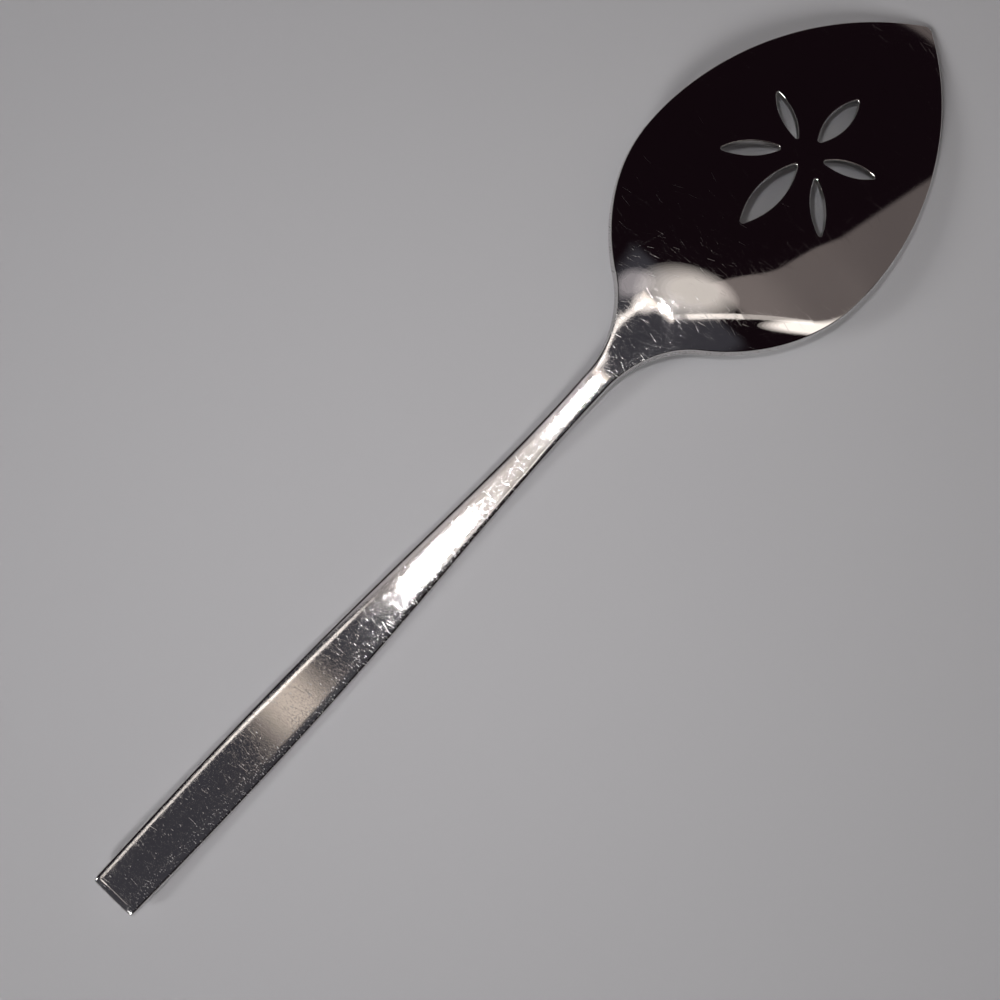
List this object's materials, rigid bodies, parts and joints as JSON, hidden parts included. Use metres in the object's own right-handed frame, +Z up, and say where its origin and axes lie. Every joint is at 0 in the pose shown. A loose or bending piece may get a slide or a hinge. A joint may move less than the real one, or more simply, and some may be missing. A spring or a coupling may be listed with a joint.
{
  "type": "pie server",
  "caption": "Pie server pressed from one piece of steel: slim flat handle, cranked neck and a broad pointed blade pierced with a flower of petals, lying face down.",
  "frame": {"origin": "on the table, under the middle of the bounding box, as the server lies face down on the flat of its handle and on its tip", "axes": "+X along the length towards the blade's tip, +Y across the blade, +Z up, out of the back"},
  "size_m": [0.258, 0.0588, 0.0175],
  "materials": {
    "polished_steel": "mirror polished stainless steel with fine wear scratches"
  },
  "bodies": {
    "root": {"pie_server": "polished_steel"}
  },
  "joints": []
}
